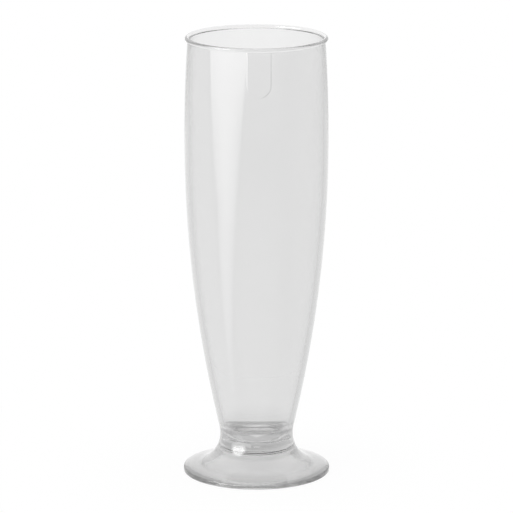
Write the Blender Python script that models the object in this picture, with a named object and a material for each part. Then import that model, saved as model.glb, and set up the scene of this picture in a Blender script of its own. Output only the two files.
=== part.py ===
"""Clear plastic tulip beer glass in two moulded pieces: a bowl whose base plugs into a hollow foot.

The glass stands on the XY plane with its axis on Z and its filling panel towards -Y.
Every section is a list of (radius, height) points, turned about the axis.
"""

import math

import bmesh
import bpy

# Driving dimensions in metres and degrees
HEIGHT = 0.2000  # table to the top of the rim

BELLY_RADIUS = 0.03225  # outside, at the widest point of the bowl
BELLY_HEIGHT = 0.1520
BELLY_WALL = 0.0024  # also the wall of everything below the belly
MOUTH_DRAW_IN = 0.0015  # how much narrower the outside is under the rim bead
RIM_WALL = 0.0008
BEAD_RADIUS = 0.00095  # half the thickness of the round bead on the rim

NECK_RADIUS = 0.01655  # outside, at the waist between bowl and foot
NECK_HEIGHT = 0.0172
NECK_FILLET = 0.0200  # from the side of the bowl into the waist
BASE_THICKNESS = 0.0036  # bowl floor above the end of the plug
FLOOR_CORNER = 0.0130  # round between the floor and the wall, inside
GATE_RADIUS = 0.0015  # moulding gate left under the base
GATE_HEIGHT = 0.0005

PANEL_WIDTH = 0.0105  # raised bare panel under the rim, with a half-round lower end
PANEL_LENGTH = 0.0200
PANEL_RELIEF = 0.0002

SEAM_HEIGHT = 0.0144  # the bowl's seat on the foot
SEAT_GAP = 0.0001
SEAT_WIDTH = 0.0022
PLUG_LENGTH = 0.0032
PLUG_TAPER = 0.0001  # loss of radius from the seat to the plug's end
PLUG_CHAMFER = 0.0004
FIT_CLEARANCE = 0.00015  # between the plug and its bore, on the radius
COLLAR_MARGIN = 0.0003  # the bore reaches this far past the plug's end
COLLAR_WALL = 0.0015  # from the hollow's ceiling edge to the outside

FOOT_RADIUS = 0.0331
FOOT_SLOPE = 14.3  # degrees, of the foot's upper face at its edge
FOOT_WALL = 0.0028  # between the slopes above and below
RING_WIDTH = 0.0035  # the flat ring that the glass stands on
EDGE_ROUND = 0.0006
LOWER_EDGE_ROUND = 0.0004

# Turning: facets round the axis, and steps along the arcs of a section
SEGMENTS = 64
BEAD_STEPS = 9
SIDE_STEPS = 5
WALL_STEPS = 10
FILLET_STEPS = 5
ROUND_STEPS = 3
PANEL_END_STEPS = 16

CLEAR_PLASTIC = (0.86, 0.88, 0.88, 1.0)
PLASTIC_ROUGHNESS = 0.05
PLASTIC_INDEX = 1.58


def arc(centre, radius, start, end, steps):
    """Points on a circle from angle start to angle end, in radians."""
    points = []
    for step in range(steps + 1):
        angle = start + (end - start) * step / steps
        points.append((centre[0] + radius * math.cos(angle), centre[1] + radius * math.sin(angle)))
    return points


class BowlSide:
    """The outside of the bowl: two arcs that meet at the belly, and a fillet into the waist."""

    def __init__(self):
        self.bead_centre = (BELLY_RADIUS - MOUTH_DRAW_IN - RIM_WALL + BEAD_RADIUS, HEIGHT - BEAD_RADIUS)
        self.mouth_radius = self.bead_centre[0] - BEAD_RADIUS
        # The bead's round ends where it runs into the outside of the wall.
        self.bead_end = -math.acos((RIM_WALL - BEAD_RADIUS) / BEAD_RADIUS)
        throat_height = self.bead_centre[1] + BEAD_RADIUS * math.sin(self.bead_end)
        rise = throat_height - BELLY_HEIGHT
        self.upper_radius = (rise**2 + MOUTH_DRAW_IN**2) / (2 * MOUTH_DRAW_IN)
        self.upper_centre = (BELLY_RADIUS - self.upper_radius, BELLY_HEIGHT)
        self.throat_angle = math.asin(rise / self.upper_radius)
        # The lower arc touches the fillet from outside, so their centres are both radii apart.
        drop = BELLY_HEIGHT - NECK_HEIGHT
        taper = BELLY_RADIUS - NECK_RADIUS
        self.lower_radius = (drop**2 / taper + taper) / 2 - NECK_FILLET
        self.lower_centre = (BELLY_RADIUS - self.lower_radius, BELLY_HEIGHT)
        self.fillet_centre = (NECK_RADIUS + NECK_FILLET, NECK_HEIGHT)
        self.fillet_angle = math.asin(drop / (self.lower_radius + NECK_FILLET))

    def height_points(self, top, bottom, steps, offset):
        """The upper arc from one height to another, moved outwards by offset."""
        start = math.asin((top - BELLY_HEIGHT) / self.upper_radius)
        end = math.asin((bottom - BELLY_HEIGHT) / self.upper_radius)
        return arc(self.upper_centre, self.upper_radius + offset, start, end, steps)


class Trumpet:
    """A side that stands upright at its top and sweeps out into a slope that ends at an edge."""

    def __init__(self, side_radius, top, edge, margin):
        self.slope = math.radians(FOOT_SLOPE)
        self.side_radius = side_radius
        self.edge = edge
        reach = edge[0] - side_radius
        corner_height = edge[1] + reach * math.tan(self.slope)
        # The sweep stops short of the edge by the margin.
        longest = (reach - margin) / math.cos(self.slope)
        tangent = min(top - corner_height, longest)
        self.radius = tangent * math.tan((math.pi / 2 + self.slope) / 2)
        self.centre = (side_radius + self.radius, corner_height + tangent)
        self.end = 1.5 * math.pi - self.slope

    def angle_at(self, height):
        return math.pi + math.asin((self.centre[1] - height) / self.radius)

    def radius_at(self, height):
        return self.centre[0] + self.radius * math.cos(self.angle_at(height))


def foot_outside():
    """The outside from the waist to the foot's edge, which the wall and the ring set."""
    slope = math.radians(FOOT_SLOPE)
    edge_height = FOOT_WALL / math.cos(slope) - RING_WIDTH * math.tan(slope)
    return Trumpet(NECK_RADIUS, NECK_HEIGHT, (FOOT_RADIUS, edge_height), 2 * EDGE_ROUND)


def foot_hollow(sweep):
    """The inside from the ceiling under the plug to the ring."""
    ceiling = SEAM_HEIGHT - PLUG_LENGTH - COLLAR_MARGIN
    side_radius = sweep.radius_at(ceiling) - COLLAR_WALL
    return Trumpet(side_radius, ceiling, (FOOT_RADIUS - RING_WIDTH, 0.0), 0.0), ceiling


def bowl_section(side, sweep):
    """From the middle of the bowl's floor, over the rim, down the outside and under the base."""
    floor = SEAM_HEIGHT - PLUG_LENGTH + BASE_THICKNESS
    inner_radius = side.lower_radius - BELLY_WALL
    # The floor's corner is a circle that touches the inner arc from inside, and is at most as
    # wide as the one whose centre lies on the axis.
    depth = BELLY_HEIGHT - floor
    spare = inner_radius**2 - side.lower_centre[0] ** 2 - depth**2
    corner_radius = min(FLOOR_CORNER, spare / (2 * (inner_radius - depth)))
    corner_reach = inner_radius - corner_radius
    corner_angle = math.asin((depth - corner_radius) / corner_reach)
    corner_side = side.lower_centre[0] + corner_reach * math.cos(corner_angle)
    corner = (corner_side, floor + corner_radius)
    inside = [(0.0, floor)]
    inside += arc(corner, corner_radius, -math.pi / 2, -corner_angle, FILLET_STEPS)
    inside += arc(side.lower_centre, inner_radius, -corner_angle, 0.0, WALL_STEPS)[1:]
    outside = arc(side.bead_centre, BEAD_RADIUS, math.pi, side.bead_end, BEAD_STEPS)
    outside += arc(side.upper_centre, side.upper_radius, side.throat_angle, 0.0, SIDE_STEPS)[1:]
    outside += arc(side.lower_centre, side.lower_radius, 0.0, -side.fillet_angle, WALL_STEPS)[1:]
    waist = arc(side.fillet_centre, NECK_FILLET, math.pi - side.fillet_angle, math.pi, FILLET_STEPS)
    outside += waist[1:]
    seat_angle = sweep.angle_at(SEAM_HEIGHT)
    outside += arc(sweep.centre, sweep.radius, math.pi, seat_angle, FILLET_STEPS)[1:]
    return inside + outside + plug_section(outside[-1][0])


def plug_section(seat_radius):
    """From the seat's inner edge down the plug to the moulding gate on the axis."""
    root = seat_radius - SEAT_WIDTH - FIT_CLEARANCE
    tip = root - PLUG_TAPER
    end = SEAM_HEIGHT - PLUG_LENGTH
    gate = end - GATE_HEIGHT
    return [
        (root, SEAM_HEIGHT),
        (tip, end + PLUG_CHAMFER),
        (tip - PLUG_CHAMFER, end),
        (GATE_RADIUS, end),
        (GATE_RADIUS, gate),
        (0.0, gate),
    ]


def foot_section(sweep):
    """A closed loop: the seat, the outside down to the ring, and back up inside the hollow."""
    seat = SEAM_HEIGHT - SEAT_GAP
    outside = arc(sweep.centre, sweep.radius, sweep.angle_at(seat), sweep.end, WALL_STEPS)
    # The edge is rounded above and below.
    flank = EDGE_ROUND / math.tan((math.pi / 2 + sweep.slope) / 2)
    upper = (FOOT_RADIUS - EDGE_ROUND, sweep.edge[1] - flank)
    outside += arc(upper, EDGE_ROUND, math.pi / 2 - sweep.slope, 0.0, ROUND_STEPS)
    lower = (FOOT_RADIUS - LOWER_EDGE_ROUND, LOWER_EDGE_ROUND)
    outside += arc(lower, LOWER_EDGE_ROUND, 0.0, -math.pi / 2, ROUND_STEPS)
    hollow, ceiling = foot_hollow(sweep)
    bore = sweep.radius_at(SEAM_HEIGHT) - SEAT_WIDTH
    inside = [hollow.edge]
    inside += arc(hollow.centre, hollow.radius, hollow.end, math.pi, WALL_STEPS)
    inside += [(hollow.side_radius, ceiling), (bore, ceiling), (bore, seat)]
    return outside + inside


def clear_plastic(name):
    material = bpy.data.materials.new(name)
    material.use_nodes = True
    shader = material.node_tree.nodes["Principled BSDF"]
    shader.inputs["Base Color"].default_value = CLEAR_PLASTIC
    shader.inputs["Roughness"].default_value = PLASTIC_ROUGHNESS
    shader.inputs["IOR"].default_value = PLASTIC_INDEX
    shader.inputs["Transmission Weight"].default_value = 1.0
    material.diffuse_color = CLEAR_PLASTIC
    return material


def add_object(name, mesh_data, height=0.0):
    """A mesh object from bmesh data, with its origin on the axis at a height."""
    mesh = bpy.data.meshes.new(name)
    bmesh.ops.translate(mesh_data, verts=mesh_data.verts, vec=(0.0, 0.0, -height))
    bmesh.ops.recalc_face_normals(mesh_data, faces=mesh_data.faces)
    mesh_data.to_mesh(mesh)
    mesh_data.free()
    mesh.shade_smooth()
    mesh.set_sharp_from_angle(angle=math.radians(30))
    obj = bpy.data.objects.new(name, mesh)
    obj.location = (0.0, 0.0, height)
    bpy.context.scene.collection.objects.link(obj)
    return obj


def turned(section, closed):
    """A section turned about the axis. An open section starts and ends on the axis."""
    data = bmesh.new()
    verts = [data.verts.new((radius, 0.0, height)) for radius, height in section]
    edges = [data.edges.new(pair) for pair in zip(verts, verts[1:])]
    if closed:
        edges.append(data.edges.new((verts[-1], verts[0])))
    bmesh.ops.spin(
        data,
        geom=verts + edges,
        cent=(0.0, 0.0, 0.0),
        axis=(0.0, 0.0, 1.0),
        angle=2 * math.pi,
        steps=SEGMENTS,
        use_merge=True,
    )
    bmesh.ops.remove_doubles(data, verts=data.verts, dist=1e-6)
    return data


def hide_helper(obj):
    obj.hide_render = True
    obj.display_type = "WIRE"


def boolean(target, other, operation):
    modifier = target.modifiers.new(operation.lower(), "BOOLEAN")
    modifier.operation = operation
    modifier.object = other
    modifier.solver = "EXACT"


def panel_outline():
    """The panel seen from the front: straight sides from inside the bead, and a half-round end."""
    half = PANEL_WIDTH / 2
    top = HEIGHT - BEAD_RADIUS
    end_centre = (0.0, top - BEAD_RADIUS - PANEL_LENGTH + half)
    end = arc(end_centre, half, 0.0, -math.pi, PANEL_END_STEPS)
    return [(half, top)] + end + [(-half, top)]


def add_panel(bowl, side):
    """A thin shell over the bowl's upper side, trimmed to the panel's outline and joined to the bowl."""
    outline = panel_outline()
    top = outline[0][1]
    bottom = top - BEAD_RADIUS - PANEL_LENGTH - PANEL_WIDTH / 2
    outer = side.height_points(top, bottom, SIDE_STEPS, PANEL_RELIEF)
    inner = side.height_points(bottom, top, SIDE_STEPS, -RIM_WALL / 2)
    shell = add_object("panel_shell", turned(outer + inner, closed=True))
    hide_helper(shell)
    data = bmesh.new()
    front = [data.verts.new((x, -2 * BELLY_RADIUS, z)) for x, z in outline]
    face = data.faces.new(front)
    extruded = bmesh.ops.extrude_face_region(data, geom=[face])["geom"]
    back = [item for item in extruded if isinstance(item, bmesh.types.BMVert)]
    bmesh.ops.translate(data, verts=back, vec=(0.0, 2 * BELLY_RADIUS, 0.0))
    trim = add_object("panel_trim", data)
    hide_helper(trim)
    boolean(shell, trim, "INTERSECT")
    boolean(bowl, shell, "UNION")
    return [shell, trim]


def main():
    for obj in list(bpy.data.objects):
        bpy.data.objects.remove(obj, do_unlink=True)
    side = BowlSide()
    sweep = foot_outside()
    glass = bpy.data.objects.new("glass", None)
    bpy.context.scene.collection.objects.link(glass)
    foot = add_object("foot", turned(foot_section(sweep), closed=True))
    bowl = add_object("bowl", turned(bowl_section(side, sweep), closed=False), SEAM_HEIGHT)
    helpers = add_panel(bowl, side)
    for piece in [foot, bowl] + helpers:
        piece.parent = glass
    for piece in (foot, bowl):
        piece.data.materials.append(clear_plastic(piece.name + "_plastic"))


main()
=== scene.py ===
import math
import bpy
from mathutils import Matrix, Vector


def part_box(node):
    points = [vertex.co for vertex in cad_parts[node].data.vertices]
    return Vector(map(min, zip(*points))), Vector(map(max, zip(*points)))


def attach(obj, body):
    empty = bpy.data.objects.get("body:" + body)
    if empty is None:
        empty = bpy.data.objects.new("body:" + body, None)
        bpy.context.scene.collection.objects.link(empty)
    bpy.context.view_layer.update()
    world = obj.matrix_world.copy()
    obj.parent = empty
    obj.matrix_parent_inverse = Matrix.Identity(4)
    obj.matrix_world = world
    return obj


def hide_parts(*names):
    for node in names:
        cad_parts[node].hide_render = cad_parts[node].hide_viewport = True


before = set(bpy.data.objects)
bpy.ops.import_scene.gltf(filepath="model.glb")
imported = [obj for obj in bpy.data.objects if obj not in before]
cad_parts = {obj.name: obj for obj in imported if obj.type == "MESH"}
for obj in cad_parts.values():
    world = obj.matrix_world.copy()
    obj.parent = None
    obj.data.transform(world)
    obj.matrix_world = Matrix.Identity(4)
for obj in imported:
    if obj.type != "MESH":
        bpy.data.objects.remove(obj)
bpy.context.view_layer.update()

# Plastic tulip glass: two turned mouldings in clear plastic, a white studio and the camera, round the frame
from types import SimpleNamespace

import bpy
import numpy as np

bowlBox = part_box("bowl")
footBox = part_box("foot")
print("frame loaded:", ", ".join(sorted(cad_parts)))


def addObject(name, data):
    made = bpy.data.objects.new(name, data)
    bpy.context.scene.collection.objects.link(made)
    return made


# Profiles are arrays of (radius, height) rows
def arcRows(centre, radius, start, end, count):
    # points on a circle: centre + radius * (cos, sin) of evenly spaced angles
    angle = np.linspace(start, end, count)
    return np.stack([centre[0] + radius * np.cos(angle), centre[1] + radius * np.sin(angle)], 1)


def arcAtHeights(centre, radius, heights):
    # points on the right half of a circle at given heights: r = cr + sqrt(R^2 - (z - cz)^2)
    return np.stack([centre[0] + np.sqrt(radius**2 - (heights - centre[1]) ** 2), heights], 1)


def lineRows(start, end, count):
    # evenly spaced points on a straight line, without its first point
    share = np.linspace(0, 1, count + 1)[1:, None]
    return np.asarray(start) * (1 - share) + np.asarray(end) * share


def softCorners(points, radius, count):
    # a polyline whose inner corners are curves: each corner P becomes a quadratic curve
    # from P + a to P + b, where a and b lie on its two sides at the given distance
    points = np.asarray(points, float)
    most = 0.45  # share of a side that a curve may take
    t = np.linspace(0, 1, count)[:, None]
    rows = [points[:1]]
    for before, corner, after in zip(points[:-2], points[1:-1], points[2:]):
        toBefore, toAfter = before - corner, after - corner
        reach = min(radius, most * np.linalg.norm(toBefore), most * np.linalg.norm(toAfter))
        a = corner + toBefore / np.linalg.norm(toBefore) * reach
        b = corner + toAfter / np.linalg.norm(toAfter) * reach
        rows.append((1 - t) ** 2 * a + 2 * t * (1 - t) * corner + t**2 * b)
    rows.append(points[-1:])
    return np.concatenate(rows)


def ringAngles(shape):
    # angles once round the axis, closer together within frontHalf of the front (-Y)
    half = math.radians(shape["frontHalf"])
    front = np.linspace(-half, half, shape["frontLines"])
    others = np.linspace(half, 2 * math.pi - half, shape["otherLines"] + 2)[1:-1]
    return np.concatenate([front, others]) - math.pi / 2


def turnedMesh(name, rows, angles, relief=None):
    # a profile turned about Z: (r cos a, r sin a, z), grown along the radius by relief(x, y, z).
    # A profile that starts on the axis has one point at each end, and any other is a closed loop.
    tiny = 1e-6
    sharpAngle = math.radians(40)
    radius, height = rows[:, :1], rows[:, 1:]
    x, y = radius * np.cos(angles), radius * np.sin(angles)
    z = height + 0 * x
    if relief is not None:
        grown = 1 + relief(x, y, z) / np.maximum(radius, tiny)
        x, y = x * grown, y * grown
    grid = np.stack([x, y, z], 2)
    rowCount, ringCount = x.shape
    index = np.arange(rowCount * ringCount).reshape(rowCount, ringCount)
    if rows[0, 0] < tiny:
        index[0], index[-1] = index[0, 0], index[-1, 0]
        upper, lower = index[:-1], index[1:]
    else:
        upper, lower = index, np.roll(index, -1, 0)
    quads = np.stack([upper, lower, np.roll(lower, -1, 1), np.roll(upper, -1, 1)], 2).reshape(-1, 4)
    used, quads = np.unique(quads, return_inverse=True)
    quads = quads.reshape(-1, 4)
    points = grid.reshape(-1, 3)[used]
    # a quad with two corners on the axis is a triangle
    first = quads[:, 0] == quads[:, 3]
    last = quads[:, 1] == quads[:, 2]
    faces = quads[~first & ~last].tolist()
    faces += quads[first][:, :3].tolist() + quads[last][:, [0, 1, 3]].tolist()
    mesh = bpy.data.meshes.new(name)
    mesh.from_pydata(points.tolist(), [], faces)
    mesh.polygons.foreach_set("use_smooth", np.ones(len(faces), bool))
    mesh.set_sharp_from_angle(angle=sharpAngle)
    mesh.update()
    print(name, "points", len(points), "faces", len(faces))
    return addObject(name, mesh)


# Outlines of the two mouldings, in metres and degrees
bowlShape = {
    "bellyHeight": 0.152,
    "bellyWall": 0.0024,
    "mouthDrawIn": 0.0015,
    "rimWall": 0.0008,
    "beadRadius": 0.00095,
    "neckRadius": 0.01655,
    "neckHeight": 0.0172,
    "neckFillet": 0.020,
    "baseThickness": 0.0036,  # above the end of the plug
    "floorCorner": 0.013,
    "gateRadius": 0.0015,
    "gateHeight": 0.0005,
    "panelWidth": 0.0105,
    "panelLength": 0.020,
    "panelRelief": 0.0002,
    "panelEdge": 0.00035,
    "panelMargin": 0.0008,  # closer rows go this far past the panel's round end
    "panelInside": 0.0303,  # the panel lies outside this radius, so not on the inner wall
    "seamHeight": 0.0144,
    "seatWidth": 0.0022,
    "plugLength": 0.0032,
    "plugTaper": 0.0001,
    "plugChamfer": 0.0004,
    "fitClearance": 0.00015,
    "frontHalf": 11.2,
    "frontLines": 75,
    "otherLines": 250,
}
footShape = {
    "slope": 14.3,
    "wall": 0.0028,
    "ringWidth": 0.0035,
    "edgeRound": 0.0006,
    "lowerEdgeRound": 0.0004,
    "collarMargin": 0.0003,
    "collarWall": 0.0015,
    "ceilingRound": 0.0008,
    "seatGap": 0.00004,
    "frontHalf": 14.0,
    "frontLines": 60,
    "otherLines": 250,
}
# points along each stretch of the outlines
bowlPoints = {
    "floor": 5,
    "corner": 22,
    "innerWall": 44,
    "mouth": 12,
    "bead": 26,
    "panelSides": 16,
    "panelEnd": 36,
    "belly": 12,
    "lowerWall": 48,
    "fillet": 12,
    "waist": 12,
}
footPoints = {
    "sweep": 40,
    "slope": 30,
    "edge": 10,
    "lowerEdge": 8,
    "hollow": 40,
    "ceilingCurve": 8,
    "ceilingSide": 6,  # points of the hollow that the curve at its ceiling takes up
}


def trumpet(sideRadius, top, edge):
    # an upright side that sweeps out into a slope down to an edge: an arc that touches the side
    # at the top and the slope, so its radius is (top - corner) * tan((90 + slope) / 2)
    slope = math.radians(footShape["slope"])
    corner = edge[1] + (edge[0] - sideRadius) * math.tan(slope)
    radius = (top - corner) * math.tan((math.pi / 2 + slope) / 2)
    return radius, (sideRadius + radius, top)


def angleAt(sweep, height):
    # the sweep's angle at a height: 180 degrees + asin((centre - height) / radius)
    radius, centre = sweep
    return math.pi + math.asin((centre[1] - height) / radius)


def radiusAt(sweep, height):
    # the distance from the axis at a height: centre + radius * cos(angle)
    radius, centre = sweep
    return centre[0] + radius * math.cos(angleAt(sweep, height))


footRadius = footBox[1].x
footSlope = math.radians(footShape["slope"])
edgeHeight = footShape["wall"] / math.cos(footSlope) - footShape["ringWidth"] * math.tan(footSlope)
outerSweep = trumpet(bowlShape["neckRadius"], bowlShape["neckHeight"], (footRadius, edgeHeight))
plugEnd = bowlShape["seamHeight"] - bowlShape["plugLength"]
seamRadius = radiusAt(outerSweep, bowlShape["seamHeight"])


def bowlRows():
    shape, count = bowlShape, bowlPoints
    top, bellyRadius = bowlBox[1].z, bowlBox[1].x
    belly, bead = shape["bellyHeight"], shape["beadRadius"]
    # outside: an arc above the belly, an arc below it and a fillet into the waist
    beadCentre = (bellyRadius - shape["mouthDrawIn"] - shape["rimWall"] + bead, top - bead)
    beadEnd = -math.acos((shape["rimWall"] - bead) / bead)
    throat = beadCentre[1] + bead * math.sin(beadEnd)
    upperRadius = ((throat - belly) ** 2 + shape["mouthDrawIn"] ** 2) / (2 * shape["mouthDrawIn"])
    upperCentre = (bellyRadius - upperRadius, belly)
    drop, taper = belly - shape["neckHeight"], bellyRadius - shape["neckRadius"]
    lowerRadius = (drop**2 / taper + taper) / 2 - shape["neckFillet"]
    lowerCentre = (bellyRadius - lowerRadius, belly)
    filletAngle = math.asin(drop / (lowerRadius + shape["neckFillet"]))
    filletCentre = (shape["neckRadius"] + shape["neckFillet"], shape["neckHeight"])
    # inside: the floor, its round corner, the wall and the straight mouth
    floor = plugEnd + shape["baseThickness"]
    innerRadius = lowerRadius - shape["bellyWall"]
    corner = shape["floorCorner"]
    cornerAngle = math.asin((belly - floor - corner) / (innerRadius - corner))
    cornerCentre = (lowerCentre[0] + (innerRadius - corner) * math.cos(cornerAngle), floor + corner)
    inside = [np.array([[0.0, floor]]), lineRows((0, floor), (cornerCentre[0], floor), count["floor"])]
    inside.append(arcRows(cornerCentre, corner, -math.pi / 2, -cornerAngle, count["corner"])[1:])
    inside.append(arcRows(lowerCentre, innerRadius, -cornerAngle, 0, count["innerWall"])[1:])
    innerBelly = (bellyRadius - shape["bellyWall"], belly)
    inside.append(lineRows(innerBelly, (beadCentre[0] - bead, beadCentre[1]), count["mouth"]))
    # outside again, from the bead down, with closer rows round the end of the panel
    outside = [arcRows(beadCentre, bead, math.pi, beadEnd, count["bead"])[1:]]
    panelEnd = throat - shape["panelLength"] - shape["panelMargin"]
    panelRound = panelEnd + shape["panelWidth"] / 2 + 2 * shape["panelMargin"]
    heights = np.concatenate([
        np.linspace(throat, panelRound, count["panelSides"])[1:],
        np.linspace(panelRound, panelEnd, count["panelEnd"])[1:],
        np.linspace(panelEnd, belly, count["belly"])[1:],
    ])
    outside.append(arcAtHeights(upperCentre, upperRadius, heights))
    outside.append(arcRows(lowerCentre, lowerRadius, 0, -filletAngle, count["lowerWall"])[1:])
    fillet = (math.pi - filletAngle, math.pi, count["fillet"])
    outside.append(arcRows(filletCentre, shape["neckFillet"], *fillet)[1:])
    seam = shape["seamHeight"]
    sweepRadius, sweepCentre = outerSweep
    waist = (math.pi, angleAt(outerSweep, seam), count["waist"])
    outside.append(arcRows(sweepCentre, sweepRadius, *waist)[1:])
    # underneath: the seat, the tapered plug and the mark of the gate
    root = seamRadius - shape["seatWidth"] - shape["fitClearance"]
    tip = root - shape["plugTaper"]
    chamfer = shape["plugChamfer"]
    gate = shape["gateRadius"]
    under = np.array([
        (root, seam),
        (tip, plugEnd + chamfer),
        (tip - chamfer, plugEnd),
        (gate, plugEnd),
        (gate - shape["gateHeight"] / 2, plugEnd - shape["gateHeight"]),
        (0, plugEnd - shape["gateHeight"]),
    ])
    return np.concatenate(inside + outside + [under]), throat


def panelRelief(throat):
    shape = bowlShape
    half = shape["panelWidth"] / 2
    endHeight = throat - shape["panelLength"] + half
    panelTop = throat - 1e-5  # just clear of the bead

    def relief(x, y, z):
        # raised inside a band with a half-round lower end: height * smoothstep(depth / edge)
        below = np.minimum(z - endHeight, 0)
        depth = half - np.hypot(x, below)
        share = np.clip(depth / shape["panelEdge"] + 0.5, 0, 1)
        front = (y < 0) & (z < panelTop) & (np.hypot(x, y) > shape["panelInside"])
        return shape["panelRelief"] * share * share * (3 - 2 * share) * front

    return relief


def footRows():
    shape, count = footShape, footPoints
    seat = bowlShape["seamHeight"] - shape["seatGap"]
    sweepEnd = 1.5 * math.pi - footSlope
    # outside: the sweep, the slope and the rounded edge
    radius, centre = outerSweep
    outside = [arcRows(centre, radius, angleAt(outerSweep, seat), sweepEnd, count["sweep"])]
    flank = shape["edgeRound"] / math.tan((math.pi / 2 + footSlope) / 2)
    upper = (footRadius - shape["edgeRound"], edgeHeight - flank)
    rounding = arcRows(upper, shape["edgeRound"], math.pi / 2 - footSlope, 0, count["edge"])
    outside += [lineRows(outside[0][-1], rounding[0], count["slope"]), rounding[1:]]
    lower = (footRadius - shape["lowerEdgeRound"], shape["lowerEdgeRound"])
    outside.append(arcRows(lower, shape["lowerEdgeRound"], 0, -math.pi / 2, count["lowerEdge"]))
    # inside: the ring, the hollow, which ends upright at its ceiling, and the bore for the plug
    ceiling = plugEnd - shape["collarMargin"]
    hollowSide = radiusAt(outerSweep, ceiling) - shape["collarWall"]
    ring = (footRadius - shape["ringWidth"], 0)
    bend, bendCentre = trumpet(hollowSide, ceiling, ring)
    hollow = arcRows(bendCentre, bend, sweepEnd, math.pi, count["hollow"])
    bore = seamRadius - bowlShape["seatWidth"]
    side = count["ceilingSide"]
    turn = [hollow[-side], hollow[-1], (bore, ceiling)]
    corner = softCorners(turn, shape["ceilingRound"], count["ceilingCurve"])[1:-1]
    top = np.array([(bore, ceiling), (bore, seat)])
    return np.concatenate(outside + [np.array([ring]), hollow[:-side], corner, top])


bowlProfile, throatHeight = bowlRows()
bowlShell = turnedMesh("clear_bowl", bowlProfile, ringAngles(bowlShape), panelRelief(throatHeight))
footShell = turnedMesh("clear_foot", footRows(), ringAngles(footShape))


# Shader nodes from Python expressions
def addNode(tree, kind, settings=None, inputs=None, output=0):
    # a node from its type, its settings and the values or links of its sockets
    made = tree.nodes.new(kind)
    for name, value in (settings or {}).items():
        setattr(made, name, value)
    for name, value in (inputs or {}).items():
        if isinstance(value, Wire):
            tree.links.new(value.socket, made.inputs[name])
        else:
            made.inputs[name].default_value = value
    return Wire(tree, made.outputs[output]) if made.outputs else None


def mathNode(tree, operation, *values):
    return addNode(tree, "ShaderNodeMath", {"operation": operation}, dict(enumerate(values)))


class Wire:
    # one output socket; arithmetic on it adds Math nodes to its tree
    def __init__(self, tree, socket):
        self.tree = tree
        self.socket = socket

    def math(self, operation, *others):
        return mathNode(self.tree, operation, self, *others)

    def __add__(self, other):
        return self.math("ADD", other)

    def __sub__(self, other):
        return self.math("SUBTRACT", other)

    def __rsub__(self, other):
        return mathNode(self.tree, "SUBTRACT", other, self)

    def __mul__(self, other):
        return self.math("MULTIPLY", other)

    def __truediv__(self, other):
        return self.math("DIVIDE", other)

    def __rtruediv__(self, other):
        return mathNode(self.tree, "DIVIDE", other, self)

    def __gt__(self, other):
        return self.math("GREATER_THAN", other)

    def __lt__(self, other):
        return self.math("LESS_THAN", other)

    __radd__ = __add__
    __rmul__ = __mul__

    def largest(self, other):
        return self.math("MAXIMUM", other)

    def smallest(self, other):
        return self.math("MINIMUM", other)

    def step(self, start, end):
        # 0 before start, 1 after end and a smooth change between
        smooth = {"interpolation_type": "SMOOTHSTEP"}
        return addNode(self.tree, "ShaderNodeMapRange", smooth, {0: self, 1: start, 2: end})


def blend(tree, share, first, second):
    # first where share is 0, second where it is 1; 6, 7 and 2 are the node's colour sockets
    inputs = {"Factor": share, 6: first, 7: second}
    return addNode(tree, "ShaderNodeMix", {"data_type": "RGBA"}, inputs, 2)


def splitVector(tree, vector):
    # the x, y and z of a vector
    outputs = addNode(tree, "ShaderNodeSeparateXYZ", None, {0: vector}).socket.node.outputs
    return [Wire(tree, socket) for socket in outputs]


def piecePlace(tree):
    # Object coordinates of a piece, with the distance from the axis
    point = addNode(tree, "ShaderNodeTexCoord", output="Object")
    x, y, z = splitVector(tree, point)
    return SimpleNamespace(point=point, x=x, y=y, z=z, away=(x * x + y * y).math("SQRT"))


# Both mouldings are clear plastic that is faintly grey all through
plasticFinish = {
    "tint": (0.885, 0.885, 0.885, 1),
    "flowTint": (0.9, 0.9, 0.9, 1),
    "flowScale": (90, 90, 14),
    "flowDetail": 2.0,
    "roughness": 0.008,
    "handling": 0.014,
    "marksScale": 700.0,
    "marksDetail": 4.0,
    "marksRange": (0.45, 0.75),
    "index": 1.58,
    "ripple": 0.000006,
    "touchReach": 0.0006,
    "touchSamples": 4,
    "touchRange": (0.35, 0.7),
    "jointDepth": 0.0007,  # how far the joint's faces lie inside the bore
    "boreMargin": 0.00005,
    "hair": 0.00002,
    # painted shade: the dark grey of the line in the joint's open gap
    "gapShadeGrey": (0.12, 0.12, 0.12, 1),
}


def closeFace(tree, inwards):
    # 1 where another face lies within reach of this one, on its outer or inner side
    settings = {"samples": plasticFinish["touchSamples"], "inside": inwards}
    reach = {"Distance": plasticFinish["touchReach"]}
    clear = addNode(tree, "ShaderNodeAmbientOcclusion", settings, reach, "AO")
    return 1 - clear.step(*plasticFinish["touchRange"])


def jointMasks(tree, place):
    # touching: the seat, the plug's sides and the bore, wherever the other moulding is close by
    # the second mask: the plug's chamfer and the lower end of the bore, where the joint stays open and a
    # dark line of painted shade goes
    hair = plasticFinish["hair"]
    bore = seamRadius - bowlShape["seatWidth"]
    gapTop = plugEnd + bowlShape["plugChamfer"] + hair
    atJoint = (place.away > bore - plasticFinish["jointDepth"]) * (place.away < seamRadius - hair)
    touching = atJoint * (place.z < bowlShape["seamHeight"] + hair) * (place.z > gapTop)
    touching = touching * closeFace(tree, False).largest(closeFace(tree, True))
    gapShade = atJoint * (place.away < bore + plasticFinish["boreMargin"])
    gapShade = gapShade * (place.z < gapTop) * (place.z > plugEnd + hair)
    return touching, gapShade


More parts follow.
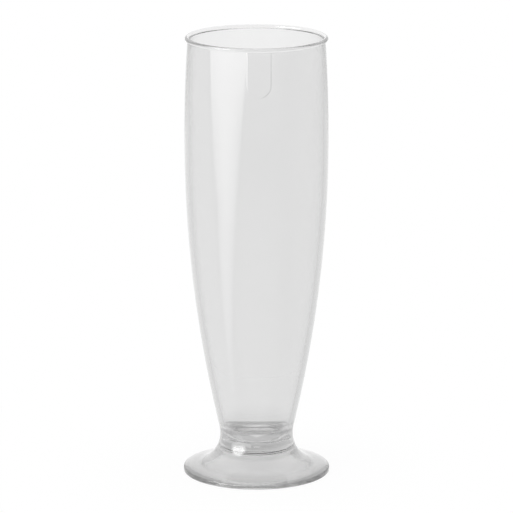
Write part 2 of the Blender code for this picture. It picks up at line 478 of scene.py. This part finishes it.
def clearPlastic(name, finish, detail):
    material = bpy.data.materials.new(name)
    material.use_nodes = True
    tree = material.node_tree
    shader = tree.nodes["Principled BSDF"]
    place = piecePlace(tree)
    # long streaks up the moulding from its gate, and fine marks of handling
    stretch = {0: place.point, 1: plasticFinish["flowScale"]}
    drawn = addNode(tree, "ShaderNodeVectorMath", {"operation": "MULTIPLY"}, stretch)
    streaks = {"Vector": drawn, "Scale": 1.0, "Detail": plasticFinish["flowDetail"]}
    flow = addNode(tree, "ShaderNodeTexNoise", None, streaks)
    fine = {"Scale": plasticFinish["marksScale"], "Detail": plasticFinish["marksDetail"]}
    marks = addNode(tree, "ShaderNodeTexNoise", None, {"Vector": place.point, **fine})
    worn = marks.step(*plasticFinish["marksRange"])
    rough = plasticFinish["roughness"] + plasticFinish["handling"] * worn * flow
    bump = {"Strength": 1.0, "Distance": plasticFinish["ripple"], "Height": flow}
    ripple = addNode(tree, "ShaderNodeBump", None, bump)
    colour = blend(tree, flow, plasticFinish["tint"], plasticFinish["flowTint"])
    colour = detail(tree, place, colour)
    # touching faces are see-through, as one body of plastic, and the open gap gets painted shade: a dark
    # grey, partly metallic line
    touching, gapShade = jointMasks(tree, place)
    gapShade = gapShade * finish["gapShadeShare"]
    colour = blend(tree, gapShade, colour, plasticFinish["gapShadeGrey"])
    tree.links.new(colour.socket, shader.inputs["Base Color"])
    tree.links.new(gapShade.socket, shader.inputs["Metallic"])
    tree.links.new(rough.socket, shader.inputs["Roughness"])
    tree.links.new((1 - touching).socket, shader.inputs["Alpha"])
    tree.links.new(ripple.socket, shader.inputs["Normal"])
    shader.inputs["IOR"].default_value = plasticFinish["index"]
    shader.inputs["Transmission Weight"].default_value = 1.0
    # absorption, so that long ways in the plastic are dark
    grey = {"Color": (0, 0, 0, 1), "Density": finish["density"]}
    body = addNode(tree, "ShaderNodeVolumeAbsorption", None, grey)
    tree.links.new(body.socket, tree.nodes["Material Output"].inputs["Volume"])
    return material


bowlFinish = {
    "density": 0.6,
    "gapShadeShare": 0.4,
    "waistTint": (0.79, 0.79, 0.79, 1),
    "waistFade": (0.018, 0.028),
    # painted shade: the grey of the thin line along the panel's step, which fades out towards the panel's
    # left side
    "outline": (0.55, 0.55, 0.55, 1),
    "outlineWidth": 0.00018,
    "outlineCore": 0.4,
    "outlineTop": 0.0003,
    "outlineFade": (-0.002, 0.004),
}


def bowlDetail(tree, place, colour):
    # greyer in the thick waist, and a thin line of painted shade along the step of the panel, plainest on
    # its right
    colour = blend(tree, 1 - place.z.step(*bowlFinish["waistFade"]), colour, bowlFinish["waistTint"])
    half = bowlShape["panelWidth"] / 2
    below = (throatHeight - bowlShape["panelLength"] + half - place.z).largest(0)
    depth = half - (place.x * place.x + below * below).math("SQRT")
    width = bowlFinish["outlineWidth"]
    # painted shade: a thin dark line along the step of the panel
    line = 1 - depth.math("ABSOLUTE").step(bowlFinish["outlineCore"] * width, width)
    line = line * (place.away > bowlShape["panelInside"]) * (place.y < 0)
    line = line * (place.z < throatHeight - bowlFinish["outlineTop"])
    return blend(tree, line * place.x.step(*bowlFinish["outlineFade"]), colour, bowlFinish["outline"])


footFinish = {
    "density": 7.0,
    "gapShadeShare": 0.9,
    "neckTint": (0.8, 0.8, 0.8, 1),
    "neckFade": 0.0005,
    "slopeTint": (1, 1, 1, 1),
    "slopeStart": 0.0171,
    "slopeEnd": 0.0225,
    # painted shade: the grey of the foot's edge, and faintly of its outer slope
    "edgeShadeGrey": (0.72, 0.72, 0.72, 1),
    "edgeWidth": 0.0012,
    "edgeMargin": 0.0003,
    "outerShadeShare": 0.3,
}


def footDetail(tree, place, colour):
    # greyer in the upright neck, clearest on the slope just under the neck, and darker towards the edge
    # with painted shade
    start, end = footFinish["slopeStart"], footFinish["slopeEnd"]
    neck = 1 - place.away.step(start - footFinish["neckFade"], start)
    slope = (1 - neck) * (1 - place.away.step(start, end))
    colour = blend(tree, slope, colour, footFinish["slopeTint"])
    colour = blend(tree, neck, colour, footFinish["neckTint"])
    # painted shade at the edge, with a faint share of it over the outer slope
    edge = place.away.step(footRadius - footFinish["edgeWidth"], footRadius - footFinish["edgeMargin"])
    edge = edge.largest(place.away.step(end, footRadius) * footFinish["outerShadeShare"])
    return blend(tree, edge, colour, footFinish["edgeShadeGrey"])


for piece, node, finish, detail in (
    (bowlShell, "bowl", bowlFinish, bowlDetail),
    (footShell, "foot", footFinish, footDetail),
):
    piece.data.materials.append(clearPlastic(node + "_clear_plastic", finish, detail))
    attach(piece, node)
    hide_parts(node)
print("plastic pieces dressed")


def rayKinds(tree):
    # white: seen by the camera, straight or through clear plastic
    # bounced: after any reflection; outer: after one off the outside
    def path(name):
        return addNode(tree, "ShaderNodeLightPath", output=name)

    bounced = path("Glossy Depth") > 0.5
    seen = path("Is Camera Ray").largest(path("Is Transmission Ray"))
    outer = bounced * (path("Transmission Depth") < 0.5)
    return seen * (1 - bounced), bounced, outer


# Surround: white where it is seen, and grey with a lamp in reflections.
# A pair is where a change starts and ends: up, round from the back, or away from the lamp, in degrees
surround = {
    "ambient": 0.6,
    "insideLevel": 0.67,
    "insideLean": 0.25,
    "brightSide": 60.0,
    "leanUp": (5, 25),
    "insideDim": 0.15,
    "dimUp": (0, 15),
    "dimTop": (40, 60),
    "dimBack": (60, 100),
    "insideTop": 0.5,
    "topUp": (50, 65),
    "topBack": (60, 150),
    "lowFront": 0.4,
    "lowUp": (-24, -8),
    "lowBack": (110, 160),
    "frontLevel": 0.2,
    "backLevel": 1.05,
    "backFade": (50, 150),
    "sideLean": 0.12,
    "lampLevel": 9.0,
    "lampLeft": 59.0,
    "lampUp": 9.0,
    "lampEdge": (14, 28),
    "lampCut": (-5, 6),
    "glowLevel": 2.9,
    "glowUp": -4,
    "glowTop": (0, 6),
    "glowDepth": 33,
    "glowStart": 18.0,
    "glowStartSlant": 1.36,
    "glowEnd": 85.4,
    "glowEndSlant": 1.35,
    "glowTail": 66.5,
    "glowTailSlant": 0.2,
    "glowSoft": 1.5,
    "glowRound": 0.2,
    "glowRoundSlant": 0.09,
    "glowRoundMost": 0.7,
}


def buildWorld():
    world = bpy.data.worlds.new("studio_surround")
    bpy.context.scene.world = world
    world.use_nodes = True
    tree = world.node_tree
    white, bounced, outer = rayKinds(tree)
    x, y, z = splitVector(tree, addNode(tree, "ShaderNodeTexCoord", output="Generated"))
    degrees = 180 / math.pi
    up = z.math("ARCSINE") * degrees
    fromBack = x.math("ARCTAN2", y).math("ABSOLUTE") * degrees
    left = (x * -1).math("ARCTAN2", y * -1) * degrees
    # after reflections inside the plastic the surround is an even grey, brighter to the left
    lobe = 0.5 + 0.5 * ((left - surround["brightSide"]) / degrees).math("COSINE")
    dim = up.step(*surround["dimUp"]) * (1 - up.step(*surround["dimTop"]))
    dim = dim * (1 - fromBack.step(*surround["dimBack"]))
    high = up.step(*surround["topUp"]) * (1 - fromBack.step(*surround["topBack"]))
    front = (1 - up.step(*surround["lowUp"])) * fromBack.step(*surround["lowBack"])
    inside = surround["insideLevel"] + surround["insideLean"] * lobe * up.step(*surround["leanUp"])
    inside = inside - surround["insideDim"] * dim + surround["insideTop"] * high
    inside = inside + surround["lowFront"] * front
    # off the outside it is white behind, greyer towards the front and brighter to the left
    back = 1 - fromBack.step(*surround["backFade"])
    outside = surround["frontLevel"] + (surround["backLevel"] - surround["frontLevel"]) * back
    outside = outside - surround["sideLean"] * x
    # a round lamp to the left of the camera, cut off below, and the glow that it throws low in front of it
    aside = (left - surround["lampLeft"]) * math.cos(math.radians(surround["lampUp"]))
    above = up - surround["lampUp"]
    apart = (aside * aside + above * above).math("SQRT")
    lamp = surround["lampLevel"] * (1 - apart.step(*surround["lampEdge"])) * up.step(*surround["lampCut"])
    low = (surround["glowUp"] - up).largest(0)
    start = surround["glowStart"] + low * surround["glowStartSlant"]
    tail = surround["glowTail"] + low * surround["glowTailSlant"]
    end = (surround["glowEnd"] - low * surround["glowEndSlant"]).largest(tail)
    soft = surround["glowSoft"]
    sides = left.step(start - soft, start + soft) * (1 - left.step(end - soft, end + soft))
    across = (2 * left - start - end) / (end - start)
    fall = (surround["glowRound"] + surround["glowRoundSlant"] * low).smallest(surround["glowRoundMost"])
    depth = (1 - low / surround["glowDepth"]).largest(0) * (1 - up.step(*surround["glowTop"]))
    glow = surround["glowLevel"] * sides * (1 - across * across * fall) * depth
    reflected = outer * (outside + lamp + glow) + (1 - outer) * inside
    light = bounced * reflected + (1 - bounced) * (white + (1 - white) * surround["ambient"])
    background = tree.nodes["Background"]
    tree.links.new(light.socket, background.inputs["Strength"])
    background.inputs["Color"].default_value = (1, 1, 1, 1)


floorFinish = {
    "reach": 4.0,
    "drop": 0.0002,
    "colour": (0.85, 0.85, 0.85, 1),
    "underShare": 0.42,
    "underInside": 0.003,
    "underOutside": 0.0005,
    "shadowShare": 0.05,
    "shadowReach": 0.055,
}


def buildFloor():
    corners = np.array([(-1, -1), (1, -1), (1, 1), (-1, 1)]) * floorFinish["reach"]
    points = np.column_stack([corners, np.full(len(corners), -floorFinish["drop"])])
    mesh = bpy.data.meshes.new("studio_floor")
    mesh.from_pydata(points.tolist(), [], [(0, 1, 2, 3)])
    floor = addObject("studio_floor", mesh)
    material = bpy.data.materials.new("white_floor")
    material.use_nodes = True
    tree = material.node_tree
    tree.nodes.clear()
    white, bounced, _ = rayKinds(tree)
    place = addNode(tree, "ShaderNodeTexCoord", output="Object")
    away = addNode(tree, "ShaderNodeVectorMath", {"operation": "LENGTH"}, {0: place}, "Value")
    # under the foot, and faintly round it, the white glow gives way to the lit paint: its shadow there is
    # real, but the patch where it shows is painted shade
    inner, outer = footRadius - floorFinish["underInside"], footRadius + floorFinish["underOutside"]
    spread = away / floorFinish["shadowReach"]
    fade = (spread * spread * -1).math("EXPONENT")
    shade = floorFinish["underShare"] * (1 - away.step(inner, outer)) + floorFinish["shadowShare"] * fade
    paint = addNode(tree, "ShaderNodeBsdfDiffuse", None, {"Color": floorFinish["colour"]})
    glow = addNode(tree, "ShaderNodeEmission", None, {"Color": (1, 1, 1, 1), "Strength": 1.0})
    lit = addNode(tree, "ShaderNodeMixShader", None, {0: 1 - white * (1 - shade), 1: glow, 2: paint})
    clear = addNode(tree, "ShaderNodeBsdfTransparent")
    seen = addNode(tree, "ShaderNodeMixShader", None, {0: bounced, 1: lit, 2: clear})
    addNode(tree, "ShaderNodeOutputMaterial", None, {"Surface": seen})
    mesh.materials.append(material)


keyLamp = {
    "watts": 13.0,
    "place": (-0.9, -0.9, 1.2),
    "size": 0.9,
}


def buildLamp():
    lamp = bpy.data.lights.new("key_softbox", "AREA")
    lamp.size = keyLamp["size"]
    lamp.energy = keyLamp["watts"]
    holder = addObject("key_softbox", lamp)
    x, y, z = keyLamp["place"]
    holder.location = (x, y, z)
    holder.rotation_euler = (math.atan2(math.hypot(x, y), z), 0, math.atan2(y, x) + math.pi / 2)
    holder.visible_glossy = False
    holder.visible_transmission = False


cameraView = {
    "away": 1.65894,
    "height": 0.49515,
    "tilt": 13.415,
    "turn": 2.1,
    "lens": 265.99,
    "sensor": 36,
    "farthest": 20,
}


def buildCamera():
    camera = bpy.data.cameras.new("photo_camera")
    camera.lens = cameraView["lens"]
    camera.sensor_width = cameraView["sensor"]
    camera.clip_end = cameraView["farthest"]
    holder = addObject("photo_camera", camera)
    turn = math.radians(cameraView["turn"])
    away = cameraView["away"]
    holder.location = (-away * math.sin(turn), -away * math.cos(turn), cameraView["height"])
    holder.rotation_euler = (math.radians(90 - cameraView["tilt"]), 0, -turn)
    bpy.context.scene.camera = holder


# light turns many corners inside clear plastic
lightPaths = {
    "max_bounces": 512,
    "glossy_bounces": 512,
    "transmission_bounces": 512,
    "transparent_max_bounces": 64,
}

buildWorld()
buildFloor()
buildLamp()
buildCamera()
bpy.context.scene.view_settings.view_transform = "Standard"
for name, bounces in lightPaths.items():
    setattr(bpy.context.scene.cycles, name, bounces)
print("studio and camera ready")
